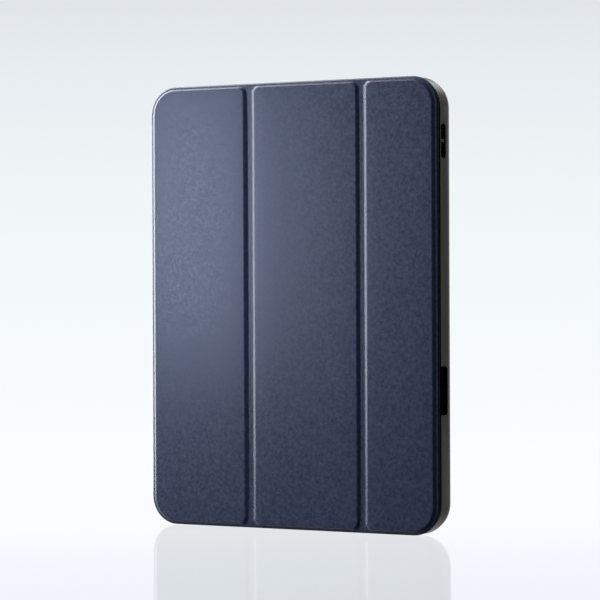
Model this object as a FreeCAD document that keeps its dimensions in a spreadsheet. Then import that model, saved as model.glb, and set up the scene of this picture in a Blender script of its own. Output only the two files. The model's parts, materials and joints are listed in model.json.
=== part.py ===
import FreeCAD, Part
import os
import Sketcher

# Folio case for an 11 inch class tablet: a moulded tray that holds the tablet, and a padded
# cover of three stiff panels on a spine that wraps the tray's left edge. The case stands
# upright on its lower edge. X runs from the spine to the free edge, Y from the cover's front
# to the tray's back, Z up. All lengths are millimetres.

DIMENSIONS = (
    ("case_width", 188.0),          # spine face to the tray's free side
    ("case_height", 254.0),
    ("case_depth", 16.6),           # raised cover panels to the tray's back
    ("cover_corner", 16.3),         # corner radius of the cover's outline
    ("panel_raise", 1.0),           # how far a panel stands proud of the flange
    ("skin_thick", 0.8),            # synthetic leather
    ("lining_thick", 0.6),          # microfibre
    ("board_thick", 1.0),           # stiffening boards
    ("flange", 1.4),                # flat rim round the panels
    ("bevel", 1.5),                 # width of the slope from the rim to a raised panel
    ("bevel_drop", 0.95),           # depth of that slope
    ("pad_corner", 2.6),            # raised panel's corner beside a fold
    ("board_inset", 2.6),           # board's edge from the cover's edge
    ("fold_one_x", -27.1),
    ("fold_two_x", 45.7),
    ("fold_half", 1.4),             # half the width of a fold strip
    ("spine_low", 19.0),            # the spine stops short of the rounded corners
    ("spine_high", 235.0),
    ("spine_front_y", -4.6),
    ("spine_rear_y", 5.2),
    ("spine_board_gap", 0.2),       # board's ends from the spine's ends
    ("fold_corner", 1.2),           # outer radius where the skin turns the corner
    ("tray_left_x", -91.3),
    ("tray_front_y", -4.9),
    ("tray_corner", 17.5),
    ("side_wall", 2.2),
    ("end_wall", 2.4),
    ("floor_thick", 1.8),
    ("lip_thick", 1.2),             # retaining lip at the tray's mouth
    ("lip_reach", 0.8),             # how far the lip hooks over the tablet
    ("rear_slope_depth", 3.7),      # tapered rear part of the tray's wall
    ("rear_slope_inset", 0.9),
    ("rear_round", 0.8),
    ("mouth_round", 0.5),
    ("cushion_thick", 2.0),
    ("pad_gap", 0.4),               # lining and cushion from the tray's walls
    ("volume_low", 208.2),
    ("volume_high", 227.5),
    ("volume_front_y", -3.6),
    ("volume_rear_y", 2.1),
    ("volume_round", 2.2),
    ("volume_tab_low", 217.3),
    ("volume_tab_high", 218.9),
    ("volume_tab_y", 0.3),
    ("notch_low", 66.5),
    ("notch_high", 93.6),
    ("notch_rear_y", 3.3),
    ("notch_round", 2.4),
    ("camera_x", 72.5),
    ("camera_z", 232.0),
    ("camera_half", 16.6),          # half the hole for the camera ring
    ("camera_round", 9.0),
    ("ring_wall", 1.6),
    ("button_centre_x", 68.5),
    ("button_half", 9.0),
    ("slot_front_y", -3.0),         # openings in the end walls
    ("slot_rear_y", 1.8),
    ("slot_round", 2.2),
    ("speaker_half", 13.0),
    ("speaker_left_x", -53.0),
    ("speaker_right_x", 35.0),
    ("speaker_low_right_x", 55.7),
    ("port_half", 8.0),
    ("port_front_y", -3.6),
    ("port_rear_y", 3.4),
    ("port_round", 3.2),
    ("flap_right_x", -66.0),        # skin flap bonded to the tray's back
    ("flap_corner", 6.0),
    ("flap_gap", 0.3),
    ("tape_thick", 0.2),
    ("tape_inset", 0.8),
    ("magnet_length", 18.0),
    ("magnet_width", 5.0),
    ("closure_x", 86.0),            # closure magnets by the free edge
    ("stand_x", -86.0),             # magnets that catch the free edge in the stand
    ("wake_x", 80.0),
    ("wake_z", 127.0),
    ("wake_radius", 4.0),
)
CLOSURE_Z = (45.0, 95.0, 159.0, 209.0)
STAND_Z = (55.0, 127.0, 199.0)

# Levels along Y, as expressions of the sheet's cells.
FRONT = "-Sizes.case_depth / 2"
BACK = "Sizes.case_depth / 2"
FLANGE_FRONT = "-Sizes.case_depth / 2 + Sizes.panel_raise"
SKIN_REAR = FLANGE_FRONT + " + Sizes.skin_thick"
COVER_REAR = SKIN_REAR + " + Sizes.lining_thick"
BOARD_FRONT = SKIN_REAR + " - Sizes.board_thick"
FLOOR = "Sizes.case_depth / 2 - Sizes.floor_thick"
CUSHION_FRONT = FLOOR + " - Sizes.cushion_thick"
BAY_BACK = CUSHION_FRONT + " - Sizes.lining_thick"
LIP_REAR = "Sizes.tray_front_y + Sizes.lip_thick"
FLAP_FRONT = "Sizes.case_depth / 2 - Sizes.skin_thick"
TAPE_FRONT = FLAP_FRONT + " - Sizes.tape_thick"

# Places along X and Z.
LEFT = "-Sizes.case_width / 2"
RIGHT = "Sizes.case_width / 2"
LOW = "0"
HIGH = "Sizes.case_height"

doc = FreeCAD.newDocument("TabletCase")
sheet = doc.addObject("Spreadsheet::Sheet", "Sizes")


def fill_sheet():
    for row, (name, value) in enumerate(DIMENSIONS, start=1):
        sheet.set(f"A{row}", name)
        sheet.set(f"B{row}", str(value))
        sheet.setAlias(f"B{row}", name)
    doc.recompute()


def plus(place, *steps):
    """Join a place and its steps into one expression."""
    return " + ".join([f"({place})"] + [f"({step})" for step in steps])


def minus(place, step):
    return f"({place}) - ({step})"


def new_body(label):
    body = doc.addObject("PartDesign::Body", label)
    body.Label = label
    body.Placement = FreeCAD.Placement()
    return body


def axis_of(start, end):
    """An outline's sides run along its sketch axes: 0 across, 1 up."""
    return 0 if abs(end[0] - start[0]) > abs(end[1] - start[1]) else 1


def outline(body, name, plane, level, corners):
    """Closed outline of square sides; each corner is (across, up, radius or None)."""
    sketch = body.newObject("Sketcher::SketchObject", name)
    origin_plane = [item for item in body.Origin.OriginFeatures if item.Role == plane]
    sketch.AttachmentSupport = [(origin_plane[0], "")]
    sketch.MapMode = "FlatFace"
    sign = "-1 * " if plane == "XZ_Plane" else ""
    sketch.setExpression("AttachmentOffset.Base.z", f"{sign}({level})")
    points = [[float(sketch.evalExpression(text)) for text in corner[:2]] for corner in corners]
    radii = [float(sketch.evalExpression(corner[2])) if corner[2] else 0.0 for corner in corners]
    lines = add_sides(sketch, points, radii)
    for index, line in enumerate(lines):
        add_corner(sketch, index, lines, points, corners)
        hold_side(sketch, index, line, points, corners)
    doc.recompute()
    if sketch.solve() != 0 or not sketch.FullyConstrained:
        raise RuntimeError(f"sketch {body.Label} {name} is not held by its constraints")
    return sketch


def step_from(start, end, distance):
    """The point that lies a distance from start on the way to end."""
    across = end[0] - start[0]
    up = end[1] - start[1]
    length = (across ** 2 + up ** 2) ** 0.5
    return FreeCAD.Vector(start[0] + across * distance / length, start[1] + up * distance / length, 0)


def add_sides(sketch, points, radii):
    lines = []
    count = len(points)
    for index in range(count):
        start = points[index]
        end = points[(index + 1) % count]
        first = step_from(start, end, radii[index])
        last = step_from(end, start, radii[(index + 1) % count])
        lines.append(sketch.addGeometry(Part.LineSegment(first, last)))
    return lines


def add_corner(sketch, index, lines, points, corners):
    """Join a side to the one before it, sharply or by an arc."""
    before = lines[index - 1]
    line = lines[index]
    radius = corners[index][2]
    if not radius:
        sketch.addConstraint(Sketcher.Constraint("Coincident", before, 2, line, 1))
        return
    first = sketch.Geometry[before].EndPoint
    last = sketch.Geometry[line].StartPoint
    size = float(sketch.evalExpression(radius))
    corner = FreeCAD.Vector(points[index][0], points[index][1], 0)
    centre = first + last - corner
    middle = centre + (corner - centre).normalize() * size
    arc = sketch.addGeometry(Part.Arc(first, middle, last))
    ends = sketch.Geometry[arc]
    forward = (ends.StartPoint - first).Length < (ends.EndPoint - first).Length
    near = 1 if forward else 2
    far = 2 if forward else 1
    sketch.addConstraint(Sketcher.Constraint("Tangent", before, 2, arc, near))
    sketch.addConstraint(Sketcher.Constraint("Tangent", arc, far, line, 1))
    held = sketch.addConstraint(Sketcher.Constraint("Radius", arc, size))
    bind(sketch, held, f"radius_{index}", radius)


def hold_side(sketch, index, line, points, corners):
    """Keep a side level or upright, at the place of its first corner."""
    start = points[index]
    end = points[(index + 1) % len(points)]
    if axis_of(start, end) == 0:
        sketch.addConstraint(Sketcher.Constraint("Horizontal", line))
        held = sketch.addConstraint(Sketcher.Constraint("DistanceY", -1, 1, line, 1, start[1]))
        bind(sketch, held, f"side_{index}", corners[index][1])
        return
    sketch.addConstraint(Sketcher.Constraint("Vertical", line))
    held = sketch.addConstraint(Sketcher.Constraint("DistanceX", -1, 1, line, 1, start[0]))
    bind(sketch, held, f"side_{index}", corners[index][0])


def bind(sketch, constraint, name, expression):
    sketch.renameConstraint(constraint, name)
    sketch.setExpression(f"Constraints.{name}", expression)


def box_corners(left, right, low, high, radius=None):
    return [(left, low, radius), (right, low, radius), (right, high, radius), (left, high, radius)]


def slab(body, name, front, rear, corners):
    """Solid between two levels along Y, drawn on its rear level."""
    sketch = outline(body, name + "Outline", "XZ_Plane", rear, corners)
    pad = body.newObject("PartDesign::Pad", name)
    pad.Profile = sketch
    pad.setExpression("Length", minus(rear, front))
    sketch.Visibility = False
    doc.recompute()
    return pad


def column(body, name, low, high, corners):
    """Solid between two levels along Z."""
    sketch = outline(body, name + "Outline", "XY_Plane", low, corners)
    pad = body.newObject("PartDesign::Pad", name)
    pad.Profile = sketch
    pad.setExpression("Length", minus(high, low))
    doc.recompute()
    return pad


def cut(body, name, plane, level, depth, corners):
    """Pocket from a level, towards +Y, -X or -Z; it has to take something away."""
    before = body.Shape.Volume
    sketch = outline(body, name + "Outline", plane, level, corners)
    pocket = body.newObject("PartDesign::Pocket", name)
    pocket.Profile = sketch
    pocket.setExpression("Length", depth)
    doc.recompute()
    if body.Shape.Volume > before - 0.5:
        raise RuntimeError(f"pocket {body.Label} {name} cuts nothing")
    return pocket


def value(expression):
    return float(sheet.evalExpression(expression.replace("Sizes.", "")))


def edges_on_level(shape, level):
    """Names of the edges that lie on a level along Y."""
    place = value(level)
    names = []
    for index, edge in enumerate(shape.Edges, start=1):
        if all(abs(point.y - place) < 1e-4 for point in edge.discretize(5)):
            names.append(f"Edge{index}")
    return names


def face_height(shape, level):
    """Height of the tallest face on a level along Y."""
    place = value(level)
    flat = [face for face in shape.Faces if abs(face.CenterOfMass.y - place) < 1e-4]
    return max(face.BoundBox.ZLength for face in flat)


def fillet(body, name, level, radius):
    base = body.Tip
    edges = edges_on_level(base.Shape, level)
    feature = body.newObject("PartDesign::Fillet", name)
    feature.Base = (base, edges)
    feature.setExpression("Radius", radius)
    doc.recompute()
    return feature


def slope(body, name, level, depth, inset):
    """Slope the edges on a level: depth along Y, inset across the face."""
    base = body.Tip
    edges = edges_on_level(base.Shape, level)
    feature = body.newObject("PartDesign::Chamfer", name)
    feature.Base = (base, edges)
    feature.ChamferType = "Two distances"
    feature.setExpression("Size", depth)
    feature.setExpression("Size2", inset)
    doc.recompute()
    wanted = face_height(base.Shape, level) - 2 * value(inset)
    if abs(face_height(feature.Shape, level) - wanted) > 1e-3:
        feature.FlipDirection = True
        doc.recompute()
    if abs(face_height(feature.Shape, level) - wanted) > 1e-3:
        raise RuntimeError(f"{body.Label} {name} slopes the wrong way")
    return feature


# The tray.

TRAY_LEFT = "Sizes.tray_left_x"
BAY_LEFT = plus(TRAY_LEFT, "Sizes.side_wall")
BAY_RIGHT = minus(RIGHT, "Sizes.side_wall")
BAY_LOW = "Sizes.end_wall"
BAY_HIGH = minus(HIGH, "Sizes.end_wall")
BAY_CORNER = "Sizes.tray_corner - Sizes.side_wall"


def inset_box(left, right, low, high, inset, radius=None):
    return box_corners(plus(left, inset), minus(right, inset), plus(low, inset), minus(high, inset), radius)


def tray_shell():
    body = new_body("tray_shell")
    walls = box_corners(TRAY_LEFT, RIGHT, LOW, HIGH, "Sizes.tray_corner")
    slab(body, "Walls", "Sizes.tray_front_y", BACK, walls)
    slope(body, "RearSlope", BACK, "Sizes.rear_slope_depth", "Sizes.rear_slope_inset")
    fillet(body, "RearRound", BACK, "Sizes.rear_round")
    reach = "Sizes.lip_reach"
    lip = inset_box(BAY_LEFT, BAY_RIGHT, BAY_LOW, BAY_HIGH, reach, minus(BAY_CORNER, reach))
    cut(body, "Mouth", "XZ_Plane", "Sizes.tray_front_y", "Sizes.lip_thick", lip)
    bay = box_corners(BAY_LEFT, BAY_RIGHT, BAY_LOW, BAY_HIGH, BAY_CORNER)
    cut(body, "Bay", "XZ_Plane", LIP_REAR, minus(FLOOR, LIP_REAR), bay)
    fillet(body, "MouthRound", "Sizes.tray_front_y", "Sizes.mouth_round")
    cut_side_openings(body)
    cut_end_openings(body)
    cut_back_openings(body)
    return body


def cut_side_openings(body):
    """Volume key opening with its dividing tab, and the finger notch, in the free side."""
    front = "Sizes.volume_front_y"
    rear = "Sizes.volume_rear_y"
    radius = "Sizes.volume_round"
    tab = "Sizes.volume_tab_y"
    keys = [
        (front, "Sizes.volume_low", radius),
        (rear, "Sizes.volume_low", radius),
        (rear, "Sizes.volume_high", radius),
        (front, "Sizes.volume_high", radius),
        (front, "Sizes.volume_tab_high", None),
        (tab, "Sizes.volume_tab_high", None),
        (tab, "Sizes.volume_tab_low", None),
        (front, "Sizes.volume_tab_low", None),
    ]
    depth = "Sizes.side_wall + 0.01"
    cut(body, "VolumeOpening", "YZ_Plane", RIGHT, depth, keys)
    mouth = minus("Sizes.tray_front_y", "1")
    turn = "Sizes.notch_round"
    notch = [
        (mouth, "Sizes.notch_low", None),
        ("Sizes.notch_rear_y", "Sizes.notch_low", turn),
        ("Sizes.notch_rear_y", "Sizes.notch_high", turn),
        (mouth, "Sizes.notch_high", None),
    ]
    cut(body, "FingerNotch", "YZ_Plane", RIGHT, "Sizes.side_wall + Sizes.lip_reach + 0.01", notch)


def end_slot(body, name, level, centre, half, front="Sizes.slot_front_y", rear="Sizes.slot_rear_y",
             radius="Sizes.slot_round"):
    corners = box_corners(minus(centre, half), plus(centre, half), front, rear, radius)
    cut(body, name, "XY_Plane", level, "Sizes.end_wall + 0.01", corners)


def cut_end_openings(body):
    """Top key and speakers in the upper wall, speakers and port in the lower wall."""
    end_slot(body, "TopKeyOpening", HIGH, "Sizes.button_centre_x", "Sizes.button_half")
    end_slot(body, "UpperLeftSpeaker", HIGH, "Sizes.speaker_left_x", "Sizes.speaker_half")
    end_slot(body, "UpperRightSpeaker", HIGH, "Sizes.speaker_right_x", "Sizes.speaker_half")
    lower = "Sizes.end_wall"
    end_slot(body, "LowerLeftSpeaker", lower, "Sizes.speaker_left_x", "Sizes.speaker_half")
    end_slot(body, "LowerRightSpeaker", lower, "Sizes.speaker_low_right_x", "Sizes.speaker_half")
    port_x = f"({BAY_LEFT} + {BAY_RIGHT}) / 2"
    end_slot(body, "PortOpening", lower, port_x, "Sizes.port_half", "Sizes.port_front_y",
             "Sizes.port_rear_y", "Sizes.port_round")


def camera_corners(half, radius):
    left = minus("Sizes.camera_x", half)
    right = plus("Sizes.camera_x", half)
    return box_corners(left, right, minus("Sizes.camera_z", half), plus("Sizes.camera_z", half), radius)


def cut_back_openings(body):
    """Camera hole, and the recess for the bonded skin flap."""
    hole = camera_corners("Sizes.camera_half", "Sizes.camera_round")
    cut(body, "CameraHole", "XZ_Plane", FLOOR, "Sizes.floor_thick + 0.01", hole)
    left = minus(TRAY_LEFT, "1")
    right = plus("Sizes.flap_right_x", "Sizes.flap_gap")
    low = minus("Sizes.spine_low", "Sizes.flap_gap")
    high = plus("Sizes.spine_high", "Sizes.flap_gap")
    radius = "Sizes.flap_corner + Sizes.flap_gap"
    recess = [(left, low, None), (right, low, radius), (right, high, radius), (left, high, None)]
    cut(body, "FlapRecess", "XZ_Plane", TAPE_FRONT, "Sizes.skin_thick + Sizes.tape_thick + 0.01", recess)


def camera_ring():
    body = new_body("camera_ring")
    slab(body, "Ring", FLOOR, BACK, camera_corners("Sizes.camera_half", "Sizes.camera_round"))
    half = minus("Sizes.camera_half", "Sizes.ring_wall")
    radius = minus("Sizes.camera_round", "Sizes.ring_wall")
    cut(body, "Window", "XZ_Plane", FLOOR, "Sizes.floor_thick + 0.01", camera_corners(half, radius))
    return body


def bay_sheet(label, front, rear):
    """A sheet that covers the tray's floor, with the camera window."""
    body = new_body(label)
    gap = "Sizes.pad_gap"
    corners = inset_box(BAY_LEFT, BAY_RIGHT, BAY_LOW, BAY_HIGH, gap, minus(BAY_CORNER, gap))
    slab(body, "Sheet", front, rear, corners)
    window = camera_corners("Sizes.camera_half", "Sizes.camera_round")
    cut(body, "CameraWindow", "XZ_Plane", front, minus(rear, front), window)
    return body


def back_flap(label, front, rear, inset):
    """The cover's skin or its tape, bonded in the recess of the tray's back."""
    body = new_body(label)
    left = plus(TRAY_LEFT, inset)
    right = minus("Sizes.flap_right_x", inset)
    low = plus("Sizes.spine_low", inset)
    high = minus("Sizes.spine_high", inset)
    radius = minus("Sizes.flap_corner", inset)
    corners = [(left, low, None), (right, low, radius), (right, high, radius), (left, high, None)]
    slab(body, "Flap", front, rear, corners)
    return body


# The spine and the folds beside it.

SKIN_IN = plus(LEFT, "Sizes.skin_thick")
SPINE_BOARD_IN = plus(SKIN_IN, "Sizes.board_thick")
SPINE_IN = plus(SPINE_BOARD_IN, "Sizes.lining_thick")
FOLD_IN = plus(SKIN_IN, "Sizes.lining_thick")
COVER_EDGE = plus(LEFT, "Sizes.flange")


def spine_layer(label, outer, inner, shorter):
    body = new_body(label)
    front = plus("Sizes.spine_front_y", shorter)
    rear = minus("Sizes.spine_rear_y", shorter)
    low = plus("Sizes.spine_low", shorter)
    high = minus("Sizes.spine_high", shorter)
    column(body, "Layer", low, high, box_corners(outer, inner, front, rear))
    return body


def front_fold(label, outer_x, outer_y, inner_x, inner_y, radius):
    """Strip that turns from the spine onto the cover's front."""
    body = new_body(label)
    end = "Sizes.spine_front_y"
    corners = [
        (outer_x, end, None),
        (outer_x, outer_y, radius),
        (COVER_EDGE, outer_y, None),
        (COVER_EDGE, inner_y, None),
        (inner_x, inner_y, None),
        (inner_x, end, None),
    ]
    column(body, "Turn", "Sizes.spine_low", "Sizes.spine_high", corners)
    return body


def rear_fold(label, outer_x, outer_y, inner_x, inner_y, radius):
    """Strip that turns from the spine onto the tray's back."""
    body = new_body(label)
    end = "Sizes.spine_rear_y"
    corners = [
        (outer_x, end, None),
        (inner_x, end, None),
        (inner_x, inner_y, None),
        (TRAY_LEFT, inner_y, None),
        (TRAY_LEFT, outer_y, None),
        (outer_x, outer_y, radius),
    ]
    column(body, "Turn", "Sizes.spine_low", "Sizes.spine_high", corners)
    return body


# The cover's panels.

FOLD_ONE_LEFT = "Sizes.fold_one_x - Sizes.fold_half"
FOLD_ONE_RIGHT = "Sizes.fold_one_x + Sizes.fold_half"
FOLD_TWO_LEFT = "Sizes.fold_two_x - Sizes.fold_half"
FOLD_TWO_RIGHT = "Sizes.fold_two_x + Sizes.fold_half"
PANEL_SPANS = {
    "panel_1": (LEFT, FOLD_ONE_LEFT),
    "panel_2": (FOLD_ONE_RIGHT, FOLD_TWO_LEFT),
    "panel_3": (FOLD_TWO_RIGHT, RIGHT),
}


def panel_corners(panel, inset, fold_inset, fold_radius=None):
    """Outline of a panel's layer, drawn in from the cover's edge and from the folds."""
    left, right = PANEL_SPANS[panel]
    outer = minus("Sizes.cover_corner", inset)
    left_edge = left == LEFT
    right_edge = right == RIGHT
    left = plus(left, inset if left_edge else fold_inset)
    right = minus(right, inset if right_edge else fold_inset)
    low = plus(LOW, inset)
    high = minus(HIGH, inset)
    left_radius = outer if left_edge else fold_radius
    right_radius = outer if right_edge else fold_radius
    return [
        (left, low, left_radius),
        (right, low, right_radius),
        (right, high, right_radius),
        (left, high, left_radius),
    ]


def cut_spine_notch(body, front, rear):
    """Room in the first panel's edge for the fold strip beside the spine."""
    corners = box_corners(minus(LEFT, "1"), COVER_EDGE, "Sizes.spine_low", "Sizes.spine_high")
    cut(body, "SpineNotch", "XZ_Plane", front, minus(rear, front), corners)


def board_corners(panel):
    reach = minus("Sizes.board_inset", "Sizes.flange")
    return panel_corners(panel, "Sizes.board_inset", reach, "Sizes.pad_corner - Sizes.flange")


def panel_skin(panel):
    """Leather skin: a flat rim, and a bevelled raised field moulded over the board."""
    body = new_body(f"{panel}_skin")
    slab(body, "Rim", FLANGE_FRONT, SKIN_REAR, panel_corners(panel, "0", "0"))
    field = panel_corners(panel, "Sizes.flange", "0", "Sizes.pad_corner")
    slab(body, "Field", FRONT, SKIN_REAR, field)
    slope(body, "Bevel", FRONT, "Sizes.bevel_drop", "Sizes.bevel")
    if panel == "panel_1":
        cut_spine_notch(body, FRONT, SKIN_REAR)
    cut(body, "BoardRoom", "XZ_Plane", BOARD_FRONT, "Sizes.board_thick", board_corners(panel))
    return body


def panel_lining(panel):
    body = new_body(f"{panel}_lining")
    slab(body, "Sheet", SKIN_REAR, COVER_REAR, panel_corners(panel, "0", "0"))
    if panel == "panel_1":
        cut_spine_notch(body, SKIN_REAR, COVER_REAR)
    return body


def magnet_corners(x_place, z_place):
    half_width = "Sizes.magnet_width / 2"
    half_length = "Sizes.magnet_length / 2"
    left = minus(x_place, half_width)
    right = plus(x_place, half_width)
    return box_corners(left, right, minus(z_place, half_length), plus(z_place, half_length))


def panel_board(panel, x_place=None, z_places=()):
    """Stiff board, with windows for its magnets."""
    body = new_body(f"{panel}_board")
    slab(body, "Board", BOARD_FRONT, SKIN_REAR, board_corners(panel))
    for count, z_place in enumerate(z_places, start=1):
        corners = magnet_corners(x_place, str(z_place))
        cut(body, f"MagnetWindow{count}", "XZ_Plane", BOARD_FRONT, "Sizes.board_thick", corners)
    return body


def cut_wake_window(body):
    """Round window for the small magnet that wakes the tablet."""
    before = body.Shape.Volume
    sketch = wake_circle(body, BOARD_FRONT)
    pocket = body.newObject("PartDesign::Pocket", "WakeWindow")
    pocket.Profile = sketch
    pocket.setExpression("Length", "Sizes.board_thick")
    doc.recompute()
    if body.Shape.Volume > before - 0.5:
        raise RuntimeError("the wake window cuts nothing")


def wake_circle(body, level):
    sketch = body.newObject("Sketcher::SketchObject", "WakeCircle")
    plane = [item for item in body.Origin.OriginFeatures if item.Role == "XZ_Plane"][0]
    sketch.AttachmentSupport = [(plane, "")]
    sketch.MapMode = "FlatFace"
    sketch.setExpression("AttachmentOffset.Base.z", f"-1 * ({level})")
    centre = FreeCAD.Vector(value("Sizes.wake_x"), value("Sizes.wake_z"), 0)
    normal = FreeCAD.Vector(0, 0, 1)
    circle = sketch.addGeometry(Part.Circle(centre, normal, value("Sizes.wake_radius")))
    held = sketch.addConstraint(Sketcher.Constraint("DistanceX", -1, 1, circle, 3, centre.x))
    bind(sketch, held, "across", "Sizes.wake_x")
    held = sketch.addConstraint(Sketcher.Constraint("DistanceY", -1, 1, circle, 3, centre.y))
    bind(sketch, held, "up", "Sizes.wake_z")
    held = sketch.addConstraint(Sketcher.Constraint("Radius", circle, value("Sizes.wake_radius")))
    bind(sketch, held, "radius", "Sizes.wake_radius")
    doc.recompute()
    return sketch


def wake_magnet():
    body = new_body("wake_magnet")
    disc = body.newObject("PartDesign::Pad", "Disc")
    disc.Profile = wake_circle(body, SKIN_REAR)
    disc.setExpression("Length", "Sizes.board_thick")
    doc.recompute()
    return body


def magnet_group(label, x_place, z_places):
    """Identical bar magnets, as separate solids of one compound."""
    bars = []
    for count, z_place in enumerate(z_places, start=1):
        bar = doc.addObject("Part::Box", f"{label}_bar_{count}")
        bar.setExpression("Length", "Sizes.magnet_width")
        bar.setExpression("Width", "Sizes.board_thick")
        bar.setExpression("Height", "Sizes.magnet_length")
        bar.setExpression("Placement.Base.x", f"{x_place} - Sizes.magnet_width / 2")
        bar.setExpression("Placement.Base.y", BOARD_FRONT)
        bar.setExpression("Placement.Base.z", f"{z_place} - Sizes.magnet_length / 2")
        bars.append(bar)
    group = doc.addObject("Part::Compound", label)
    group.Label = label
    group.Links = bars
    doc.recompute()
    return group


def fold_strip(label, centre, front, rear):
    """Flexible strip between two panels."""
    body = new_body(label)
    corners = box_corners(minus(centre, "Sizes.fold_half"), plus(centre, "Sizes.fold_half"), LOW, HIGH)
    slab(body, "Strip", front, rear, corners)
    return body


def tray_parts():
    return [
        tray_shell(),
        camera_ring(),
        bay_sheet("cushion_pad", CUSHION_FRONT, FLOOR),
        bay_sheet("tray_lining", BAY_BACK, CUSHION_FRONT),
        back_flap("back_flap_skin", FLAP_FRONT, BACK, "0"),
        back_flap("flap_tape", TAPE_FRONT, FLAP_FRONT, "Sizes.tape_inset"),
    ]


def spine_parts():
    flap_inner = FLAP_FRONT + " - Sizes.lining_thick"
    turn = "Sizes.fold_corner"
    return [
        spine_layer("spine_skin", LEFT, SKIN_IN, "0"),
        spine_layer("spine_board", SKIN_IN, SPINE_BOARD_IN, "Sizes.spine_board_gap"),
        spine_layer("spine_lining", SPINE_BOARD_IN, SPINE_IN, "0"),
        front_fold("front_fold_skin", LEFT, FLANGE_FRONT, SKIN_IN, SKIN_REAR, turn),
        front_fold("front_fold_lining", SKIN_IN, SKIN_REAR, FOLD_IN, COVER_REAR, None),
        rear_fold("rear_fold_skin", LEFT, BACK, SKIN_IN, FLAP_FRONT, turn),
        rear_fold("rear_fold_lining", SKIN_IN, FLAP_FRONT, FOLD_IN, flap_inner, None),
    ]


def cover_parts():
    third_board = panel_board("panel_3", "Sizes.closure_x", CLOSURE_Z)
    cut_wake_window(third_board)
    return [
        panel_skin("panel_1"),
        panel_board("panel_1", "Sizes.stand_x", STAND_Z),
        panel_lining("panel_1"),
        magnet_group("stand_magnets", "Sizes.stand_x", STAND_Z),
        fold_strip("fold_1_skin", "Sizes.fold_one_x", FLANGE_FRONT, SKIN_REAR),
        fold_strip("fold_1_lining", "Sizes.fold_one_x", SKIN_REAR, COVER_REAR),
        panel_skin("panel_2"),
        panel_board("panel_2"),
        panel_lining("panel_2"),
        fold_strip("fold_2_skin", "Sizes.fold_two_x", FLANGE_FRONT, SKIN_REAR),
        fold_strip("fold_2_lining", "Sizes.fold_two_x", SKIN_REAR, COVER_REAR),
        panel_skin("panel_3"),
        third_board,
        panel_lining("panel_3"),
        magnet_group("closure_magnets", "Sizes.closure_x", CLOSURE_Z),
        wake_magnet(),
    ]


def check_document(nodes):
    for item in doc.Objects:
        if "Invalid" in item.State or "Error" in item.State:
            raise RuntimeError(f"{item.Name} failed to compute")
    for node in nodes:
        if node.Shape.isNull() or not node.Shape.isValid():
            raise RuntimeError(f"{node.Label} has no valid shape")


fill_sheet()
case_parts = tray_parts() + spine_parts() + cover_parts()
doc.recompute()
check_document(case_parts)
os.makedirs("parts", exist_ok=True)
for part in case_parts:
    part.Shape.exportStep(f"parts/{part.Label}.step")
    print(part.Label, len(part.Shape.Solids), round(part.Shape.Volume, 1))
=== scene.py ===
"""Looks of the tablet folio case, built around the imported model.

Lengths in the tables and helpers are in millimetres, in the model's frame: +X from the spine to the
free edge, +Y from the cover's front to the tray's back, +Z up. Lights, floor and camera are in metres.
"""
import json
import math

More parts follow.
